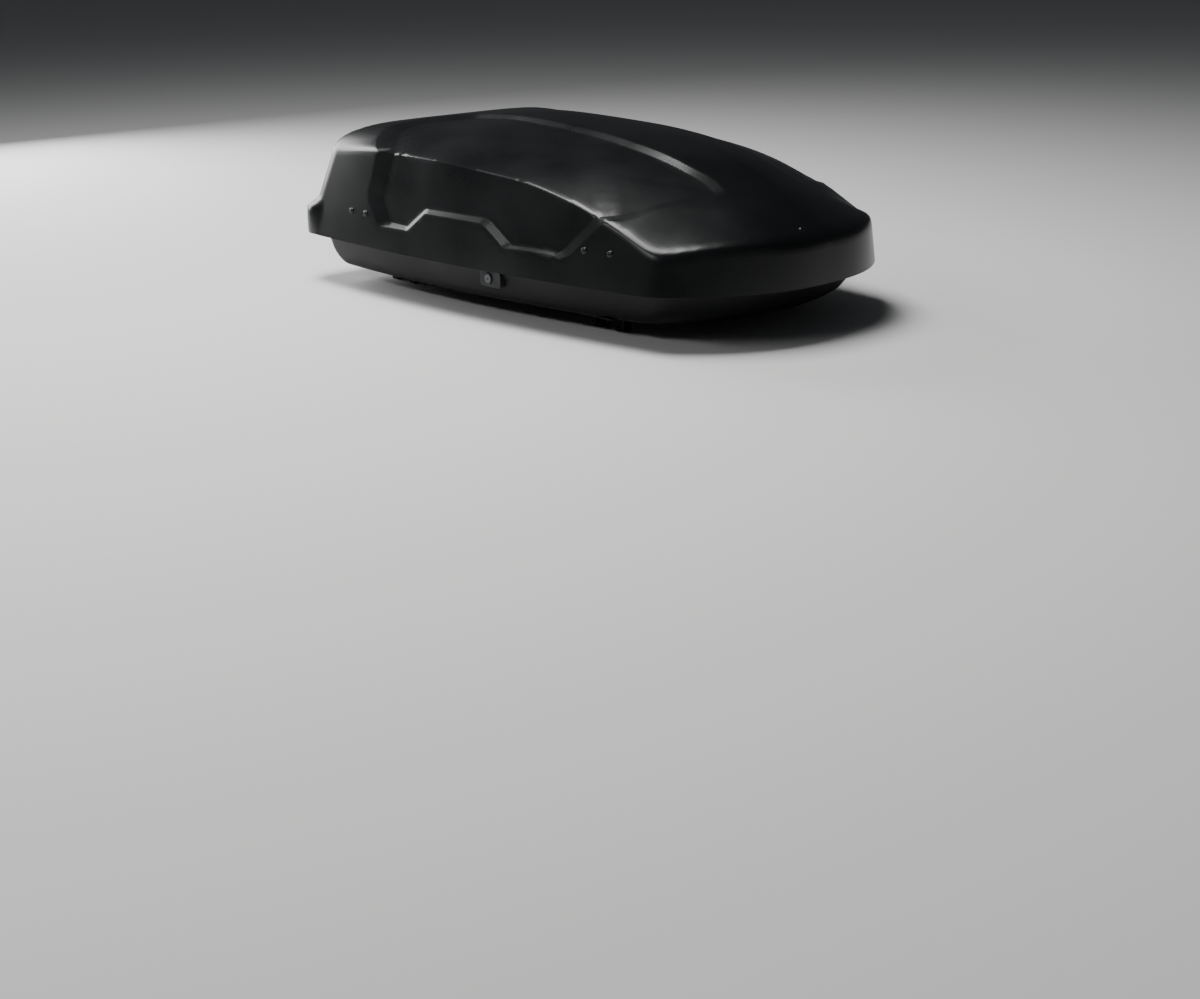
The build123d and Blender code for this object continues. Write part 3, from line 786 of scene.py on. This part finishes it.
def started_tree(name, sizes):
    """A node tree with geometry in and out, a Finish input and the sizes as number inputs."""
    tree = bpy.data.node_groups.new(name, "GeometryNodeTree")
    face = tree.interface
    face.new_socket("Geometry", in_out="INPUT", socket_type="NodeSocketGeometry")
    for size in sizes:
        face.new_socket(size, in_out="INPUT", socket_type="NodeSocketFloat")
    face.new_socket("Finish", in_out="INPUT", socket_type="NodeSocketMaterial")
    face.new_socket("Geometry", in_out="OUTPUT", socket_type="NodeSocketGeometry")
    return tree


def end_tree(tree, geometry, finish):
    """Makes a tree's instances real, gives them the finish and puts them out."""
    real = add_node(tree, "GeometryNodeRealizeInstances", None, {"Geometry": geometry})
    done = add_node(
        tree,
        "GeometryNodeSetMaterial",
        None,
        {"Geometry": real.outputs["Geometry"], "Material": finish},
    )
    add_node(tree, "NodeGroupOutput", None, {"Geometry": done.outputs["Geometry"]})
    return tree


def repeat_tree():
    """A node tree that puts one head on every point, faced along the point's direction."""
    tree = started_tree("repeat_heads", ["Size"])
    tree.interface.new_socket("Head", in_out="INPUT", socket_type="NodeSocketObject")
    entry = add_node(tree, "NodeGroupInput").outputs
    head = add_node(tree, "GeometryNodeObjectInfo", None, {"Object": entry["Head"]}).outputs["Geometry"]
    facing = add_node(
        tree, "GeometryNodeInputNamedAttribute", {"Name": "facing"}, data_type="FLOAT_VECTOR"
    ).outputs["Attribute"]
    turn = add_node(
        tree, "FunctionNodeAlignRotationToVector", None, {"Vector": facing}, axis="Z"
    ).outputs["Rotation"]
    dots = add_node(
        tree, "GeometryNodeMeshToPoints", None, {"Mesh": entry["Geometry"]}
    ).outputs["Points"]
    placed = add_node(
        tree,
        "GeometryNodeInstanceOnPoints",
        None,
        {"Points": dots, "Instance": head, "Rotation": turn, "Scale": entry["Size"]},
    ).outputs["Instances"]
    return end_tree(tree, placed, entry["Finish"])


def coil_tree():
    """A node tree that winds round wire along X: turns, radius, length and wire as named inputs."""
    tree = started_tree("wound_wire", ["Turns", "Radius", "Length", "Wire"])
    tree.interface.new_socket("Place", in_out="INPUT", socket_type="NodeSocketVector")
    entry = add_node(tree, "NodeGroupInput").outputs
    line = add_node(
        tree,
        "GeometryNodeCurveSpiral",
        {"Resolution": 40},
        {
            "Rotations": entry["Turns"],
            "Start Radius": entry["Radius"],
            "End Radius": entry["Radius"],
            "Height": entry["Length"],
        },
    ).outputs["Curve"]
    round_bar = add_node(
        tree, "GeometryNodeCurvePrimitiveCircle", {"Resolution": 12}, {"Radius": entry["Wire"]}
    ).outputs["Curve"]
    wire = add_node(
        tree,
        "GeometryNodeCurveToMesh",
        {"Fill Caps": True},
        {"Curve": line, "Profile Curve": round_bar},
    ).outputs["Mesh"]
    turned = add_node(
        tree,
        "GeometryNodeTransform",
        {"Rotation": (0, math.pi / 2, 0)},
        {"Geometry": wire, "Translation": entry["Place"]},
    ).outputs["Geometry"]
    return end_tree(tree, turned, entry["Finish"])


def grown(tree, base, values):
    """A plain mesh of what a node tree makes of a base mesh with its inputs set by name."""
    rough = bpy.data.objects.new("rough", base)
    modifier = rough.modifiers.new("nodes", "NODES")
    modifier.node_group = tree
    for item in tree.interface.items_tree:
        if item.in_out == "INPUT" and item.name in values:
            modifier[item.identifier] = values[item.name]
    bpy.context.scene.collection.objects.link(rough)
    mesh = baked(rough)
    bpy.data.objects.remove(rough)
    mesh.shade_smooth()
    return mesh


def spots(places, facings):
    """Points that carry the direction each head faces."""
    mesh = bpy.data.meshes.new("spots")
    mesh.from_pydata([tuple(p) for p in places], [], [])
    facing = mesh.attributes.new("facing", "FLOAT_VECTOR", "POINT")
    facing.data.foreach_set("vector", np.array(facings, np.float32).ravel())
    return mesh


def heads(name, body, slot, head, places, facings, size, stands_for=()):
    """A piece of like heads at the given places."""
    head_object = bpy.data.objects.new(name + "_head", head)
    mesh = grown(
        repeat_tree(),
        spots(places, facings),
        {"Head": head_object, "Size": size, "Finish": finish_material(slot)},
    )
    bpy.data.objects.remove(head_object)
    return publish(mesh, name, body, slot, stands_for)


class BOX_OT_plugs(bpy.types.Operator):
    """Press the moulded plugs into the lid, each with its rim and its dimpled top"""

    bl_idname = "roofbox.plugs"
    bl_label = "Lid plugs"

    def execute(self, context):
        skin = Skin(context.scene.roofbox_lid)
        places, facings = [], []
        for x in PLUG_XS:
            along, down = skin.on_wall(x, PLUG_RISE)
            near = skin.wall([(along, down), (along + 0.002, down), (along, down + 0.002)])
            out = np.cross(near[1] - near[0], near[2] - near[0])
            out *= math.copysign(1, out[1]) / np.linalg.norm(out)
            for side in SIDES.values():
                places.append(near[0] * (1, side, 1) + (0, 0, LID_LOW.z))
                facings.append(out * (1, side, 1))
        near = skin.roof([HOOD_PLUG, np.add(HOOD_PLUG, (0.002, 0)), np.add(HOOD_PLUG, (0, 0.002))])
        out = np.cross(near[1] - near[0], near[2] - near[0])
        places.append(near[0] * (1, -1, 1) + (0, 0, LID_LOW.z))
        facings.append(out / np.linalg.norm(out) * (1, -1, 1))
        profile = [
            (0, -0.25), (1.12, -0.25), (1.14, 0.02), (1.08, 0.10), (1.0, 0.10), (0.96, 0.22),
            (0.82, 0.38), (0.60, 0.47), (0.36, 0.50), (0.22, 0.44), (0, 0.42),
        ]
        head = as_mesh(lathe(profile, 24), "plug_head")
        radius = context.scene.roofbox_fittings.plug_radius
        heads("lid_plug_heads", "lid", "plug_plastic", head, places, facings, radius, ["lid_plugs"])
        return {"FINISHED"}


class BOX_OT_rivets(bpy.types.Operator):
    """Set the rivets through the beams' feet"""

    bl_idname = "roofbox.rivets"
    bl_label = "Tray rivets"

    def execute(self, context):
        low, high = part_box("tray_rivets")
        radius = context.scene.roofbox_fittings.rivet_radius
        xs = np.arange(low.x + radius, high.x, RIVET_PITCH)
        places = [(x, side * (high.y - radius), low.z) for x in xs for side in (1, -1)]
        profile = [
            (0, 0), (1.0, 0), (1.0, 0.10), (0.9, 0.26), (0.62, 0.38), (0.30, 0.43), (0.26, 0.34),
            (0, 0.34),
        ]
        head = as_mesh(lathe(profile, 20), "rivet_head")
        heads("tray_rivet_heads", "base", "zinc_steel", head, places, [(0, 0, 1)] * len(places),
              radius, ["tray_rivets"])
        return {"FINISHED"}


class BOX_OT_knobs(bpy.types.Operator):
    """Make the lobed clamp knobs with their dished tops and grip ridges"""

    bl_idname = "roofbox.knobs"
    bl_label = "Clamp knobs"

    def execute(self, context):
        count = context.scene.roofbox_fittings.grips

        def lobes(angle):
            off = angle % (math.pi / 3) - math.pi / 6
            inner = KNOB_SCALLOP**2 - (KNOB_REACH * math.sin(off)) ** 2
            if inner < 0:
                return 1.0
            cut = KNOB_REACH * math.cos(off) - math.sqrt(inner)
            return min(1.0, cut / KNOB_RADIUS)

        profile = [
            (0, 0), (0.86, 0), (0.97, 0.0012), (1.0, 0.0032), (1.0, 0.0160), (0.975, 0.0184),
            (0.92, 0.0197), (0.84, 0.0200), (0.70, 0.0194), (0.58, 0.0176), (0.50, 0.0160),
            (0.32, 0.0158), (0.28, 0.0172), (0, 0.0174),
        ]
        for name in CLAMPS:
            low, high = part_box(f"clamp_knob_{name}")
            middle = (low + high) / 2
            shape = lathe([(r * KNOB_RADIUS, z) for r, z in profile], 144, lobes)
            bmesh.ops.translate(shape, verts=shape.verts, vec=(middle.x, middle.y, low.z))
            mesh = as_mesh(shape, "knob")
            publish(mesh, f"knob_grip_{name}", f"knob_{name}", "grip_plastic", [f"clamp_knob_{name}"])
            angles = [2 * math.pi * k / count for k in range(count)]
            ways = [(math.cos(a), math.sin(a), 0) for a in angles]
            places = [
                (middle.x + w[0] * KNOB_RADIUS * (lobes(a) - 0.012),
                 middle.y + w[1] * KNOB_RADIUS * (lobes(a) - 0.012), low.z + RIDGE_RISE)
                for a, w in zip(angles, ways)
            ]
            ridge = bmesh.new()
            bmesh.ops.create_icosphere(ridge, subdivisions=2, radius=1)
            bmesh.ops.scale(ridge, verts=ridge.verts, vec=(1.0, 6.0, 0.75))
            bmesh.ops.rotate(ridge, verts=ridge.verts, cent=(0, 0, 0),
                             matrix=Matrix.Rotation(math.pi / 2, 3, "Z"))
            heads(f"knob_ridges_{name}", f"knob_{name}", "grip_plastic", as_mesh(ridge, "ridge"),
                  places, ways, RIDGE_SIZE)
        return {"FINISHED"}


class BOX_OT_springs(bpy.types.Operator):
    """Wind the lifting springs over their seats"""

    bl_idname = "roofbox.springs"
    bl_label = "Lifting springs"

    def execute(self, context):
        turns = context.scene.roofbox_fittings.turns
        for end in ENDS:
            low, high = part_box(f"lifter_spring_{end}")
            radius = (high.y - low.y) / 2
            centre = Vector(((low.x + high.x) / 2, (low.y + high.y) / 2, high.z - radius))
            length = high.x - low.x - 2 * SPRING_CUP
            mesh = grown(
                coil_tree(),
                bpy.data.meshes.new("none"),
                {
                    "Turns": float(turns),
                    "Radius": radius - 0.0024,
                    "Length": length,
                    "Wire": SPRING_WIRE,
                    "Place": (low.x + SPRING_CUP, centre.y, centre.z),
                    "Finish": finish_material("black_steel"),
                },
            )
            publish(mesh, f"lifter_coil_{end}", "base", "black_steel", [f"lifter_spring_{end}"])
            shape = bmesh.new()
            for x, way in ((low.x, 1), (high.x, -1)):
                cup = lathe(
                    [(CUP_BORE, 0), (radius - 0.0006, 0), (radius, 0.0008), (radius, SPRING_CUP),
                     (radius - 0.001, SPRING_CUP), (radius - 0.001, 0.0016),
                     (CUP_BORE, 0.0016), (CUP_BORE, 0)],
                    48,
                )
                turn = Matrix.Rotation(way * math.pi / 2, 4, "Y")
                cup.transform(Matrix.Translation((x, centre.y, centre.z)) @ turn)
                bmesh.ops.remove_doubles(cup, verts=cup.verts, dist=1e-6)
                part = bpy.data.meshes.new("cup")
                cup.to_mesh(part)
                cup.free()
                shape.from_mesh(part)
            sleeve = bmesh.ops.create_cube(shape, size=1)["verts"]
            top = centre.z - radius + 0.0022
            bmesh.ops.scale(shape, verts=sleeve, vec=(high.x - low.x - 0.001, 0.016, top - low.z))
            bmesh.ops.translate(shape, verts=sleeve, vec=(centre.x, centre.y, (top + low.z) / 2))
            edges = {edge for vertex in sleeve for edge in vertex.link_edges}
            bmesh.ops.bevel(shape, geom=list(edges), offset=0.0008, segments=2, affect="EDGES")
            bmesh.ops.recalc_face_normals(shape, faces=shape.faces)
            publish(as_mesh(shape, "seat"), f"lifter_cups_{end}", "base", "black_steel")
        return {"FINISHED"}


def floor_height(points):
    """How far the tray's floor stands above its flat level: ribs up, bar pads down."""
    x, y = points[:, 0], points[:, 1]
    rise = np.zeros(len(points))
    for rib in RIB_YS:
        over = np.maximum(np.maximum(RIB_X0 - x, x - RIB_X1), 0)
        gap = np.hypot(over, y - rib)
        t = np.clip((RIB_HALF - gap) / RIB_SLOPE, 0, 1)
        rise = np.maximum(rise, RIB_RISE * t * t * (3 - 2 * t))
    for bar in BAR_XS:
        gap = np.maximum(np.abs(x - bar) - PAD_HALF_X, np.abs(y) - PAD_HALF_Y)
        t = np.clip(-gap / PAD_SLOPE, 0, 1)
        rise = np.where(t > 0, rise * (1 - t) - PAD_DROP * t * t * (3 - 2 * t), rise)
    return rise


def rounded_box(cx, cy, hx, hy, radius, steps=5):
    """A closed plan path of a rectangle with round corners."""
    path = []
    for k, (sx, sy) in enumerate(((1, 1), (-1, 1), (-1, -1), (1, -1))):
        for i in range(steps + 1):
            a = math.pi / 2 * (k + i / steps)
            path.append((cx + sx * (hx - radius) + radius * math.cos(a),
                         cy + sy * (hy - radius) + radius * math.sin(a)))
    return np.array(path)


def tray_mesh(step):
    """The tray's outer sheet: a drawn wall with a rounded foot, a ribbed floor and the clamp slots."""
    height = TRAY_HIGH.z - TRAY_FLOOR_Z
    rings = []
    for z, foot, rear, nose in TRAY_PROFILE:
        share = (TRAY_HIGH.z - z) / height
        inset = 0.040 + 0.030 * share + foot
        plan = half_plan(inset, 0, rear - inset, nose)[::6]
        end = half_plan(inset, 0, rear - inset, nose)[-1:]
        plan = np.vstack([plan, end])
        whole = np.vstack([plan, plan[-2:0:-1] * (1, -1)])
        rings.append(np.column_stack([whole, np.full(len(whole), z)]))
    shape = bmesh.new()
    made = [[shape.verts.new(p) for p in ring] for ring in rings]
    count = len(made[0])
    for low, high in zip(made[:-1], made[1:]):
        for k in range(count):
            shape.faces.new([low[k], low[(k + 1) % count], high[(k + 1) % count], high[k]])
    border = rings[-1][:, :2]
    loops = []
    for name in CLAMPS:
        spot = CLAMP_SPOTS[name]
        loops.append(rounded_box(spot.x, spot.y, SLOT_HALF_X, SLOT_HALF_Y, 0.012))
    guides = []
    for rib in RIB_YS:
        for half in (RIB_HALF, RIB_HALF - RIB_SLOPE):
            reach = (RIB_X1 - RIB_X0) / 2 + half
            guides.append(rounded_box((RIB_X0 + RIB_X1) / 2, rib, reach, half, half * 0.98))
    for bar in BAR_XS:
        for inset in (0, PAD_SLOPE):
            guides.append(rounded_box(bar, 0, PAD_HALF_X - inset, PAD_HALF_Y - inset, 0.014))
    low, high = border.min(0), border.max(0)
    across, along = (np.arange(low[i], high[i], step) for i in (1, 0))
    grid = np.array([(x, y) for x in along for y in across])
    closed = [np.vstack([path, path[:1]]) for path in [border, *loops, *guides]]
    keep = inside(grid, border) & (distance_to(grid, closed) > 0.35 * step)
    points, edges = [], []
    for path in [border, *loops, *guides]:
        first = len(points)
        points += [tuple(p) for p in path]
        edges += [(first + i, first + (i + 1) % len(path)) for i in range(len(path))]
    points += [tuple(p) for p in grid[keep]]
    out, _, faces, _, _, _ = delaunay_2d_cdt([Vector(p) for p in points], edges, [], 1, 1e-6)
    flat = np.array([tuple(v) for v in out])
    rise = floor_height(flat)
    floor = [shape.verts.new((x, y, TRAY_PROFILE[-1][0] + r)) for (x, y), r in zip(flat, rise)]
    middles = np.array([flat[list(face)].mean(0) for face in faces])
    cut = np.zeros(len(faces), bool)
    for loop in loops:
        cut |= inside(middles, loop)
    for face, gone in zip(faces, cut):
        if not gone:
            shape.faces.new([floor[i] for i in face])
    bmesh.ops.remove_doubles(shape, verts=shape.verts, dist=1e-5)
    bmesh.ops.recalc_face_normals(shape, faces=shape.faces)
    if sum(f.normal.z * f.calc_area() for f in shape.faces) > 0:
        bmesh.ops.reverse_faces(shape, faces=shape.faces)
    return as_mesh(shape, "tray", math.radians(60))


class BOX_OT_tray(bpy.types.Operator):
    """Form the tray with its rounded foot, ribs, bar pads and clamp slots"""

    bl_idname = "roofbox.tray"
    bl_label = "Tray"

    def execute(self, context):
        rough = bpy.data.objects.new("tray_rough", tray_mesh(0.022))
        context.scene.collection.objects.link(rough)
        wall = rough.modifiers.new("wall", "SOLIDIFY")
        wall.thickness = context.scene.roofbox_lid.wall
        wall.offset = -1
        mesh = baked(rough)
        bpy.data.objects.remove(rough)
        publish(mesh, "tray_sheet", "base", "tray_abs", ["base_tray"])
        return {"FINISHED"}


class BOX_OT_carried(bpy.types.Operator):
    """Give every carried-over frame part its procedural finish"""

    bl_idname = "roofbox.carried"
    bl_label = "Frame finishes"

    def execute(self, context):
        slots = {s["node"]: s["material_slot"] for s in frame["record"]["subparts"]}
        for name, node in frame["nodes"].items():
            node.data.materials.clear()
            node.data.materials.append(finish_material(slots[name]))
        return {"FINISHED"}


def lamp(name, place, target, size, power):
    """A soft square studio light."""
    data = bpy.data.lights.new(name, "AREA")
    data.shape = "RECTANGLE"
    data.size, data.size_y = size
    data.energy = power
    lamp_object = bpy.data.objects.new(name, data)
    lamp_object.location = place
    way = Vector(target) - Vector(place)
    lamp_object.rotation_euler = way.to_track_quat("-Z", "Y").to_euler()
    bpy.context.scene.collection.objects.link(lamp_object)


class BOX_OT_stage(bpy.types.Operator):
    """Set the studio floor, the lights and the camera"""

    bl_idname = "roofbox.stage"
    bl_label = "Stage"

    def execute(self, context):
        bpy.ops.mesh.primitive_circle_add(vertices=96, radius=60, fill_type="NGON")
        floor = context.object
        floor.name = "studio_floor"
        floor.data.transform(Matrix.Translation((0, 0, CAD_LOW.z)))
        material = bpy.data.materials.new("studio_paper")
        material.use_nodes = True
        tree = material.node_tree
        shader = tree.nodes["Principled BSDF"]
        shader.inputs["Base Color"].default_value = list(context.scene.roofbox_finishes.floor) + [1]
        shader.inputs["Roughness"].default_value = 0.9
        floor.data.materials.append(material)
        world = bpy.data.worlds.new("studio_air")
        world.use_nodes = True
        world.node_tree.nodes["Background"].inputs["Color"].default_value = linear("#D4D8DE")
        world.node_tree.nodes["Background"].inputs["Strength"].default_value = 0.06
        context.scene.world = world
        for name, settings in LIGHTS.items():
            lamp(name, *settings)
        azimuth, pitch, roll = (math.radians(a) for a in CAMERA_TURN)
        back = Vector(
            (math.sin(azimuth) * math.cos(pitch), -math.cos(azimuth) * math.cos(pitch), math.sin(pitch))
        )
        right = (-back).cross(Vector((0, 0, 1))).normalized()
        up = right.cross(-back)
        right, up = (
            math.cos(roll) * right + math.sin(roll) * up,
            math.cos(roll) * up - math.sin(roll) * right,
        )
        camera = bpy.data.objects.new("camera", bpy.data.cameras.new("camera"))
        camera.data.lens = 48
        camera.data.sensor_width = 36
        turn = Matrix((right, up, back)).transposed().to_4x4()
        camera.matrix_world = Matrix.Translation(CAMERA_PLACE) @ turn
        context.scene.collection.objects.link(camera)
        context.scene.camera = camera
        return {"FINISHED"}


class BOX_PT_panel(bpy.types.Panel):
    """The box's pieces in the 3D view's sidebar"""

    bl_label = "Roof box"
    bl_idname = "BOX_PT_panel"
    bl_space_type = "VIEW_3D"
    bl_region_type = "UI"
    bl_category = "Roof box"

    def draw(self, context):
        for operator in OPERATORS:
            self.layout.operator(operator.bl_idname)
        for group in ("roofbox_lid", "roofbox_fittings", "roofbox_finishes"):
            settings = getattr(context.scene, group)
            for name in settings.__annotations__:
                self.layout.prop(settings, name)


GROUPS = {"roofbox_lid": LidSizes, "roofbox_fittings": FittingSizes, "roofbox_finishes": Finishes}
OPERATORS = [
    BOX_OT_carried, BOX_OT_lid, BOX_OT_plugs, BOX_OT_tray, BOX_OT_rivets, BOX_OT_knobs,
    BOX_OT_springs, BOX_OT_stage,
]


def register():
    for cls in [*GROUPS.values(), *OPERATORS, BOX_PT_panel]:
        bpy.utils.register_class(cls)
    for name, cls in GROUPS.items():
        setattr(bpy.types.Scene, name, PointerProperty(type=cls))


def unregister():
    for name in GROUPS:
        delattr(bpy.types.Scene, name)
    for cls in reversed([*GROUPS.values(), *OPERATORS, BOX_PT_panel]):
        bpy.utils.unregister_class(cls)


def main():
    register()
    for operator in OPERATORS:
        group, name = operator.bl_idname.split(".")
        getattr(getattr(bpy.ops, group), name)()
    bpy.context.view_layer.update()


if __name__ == "__main__":
    main()
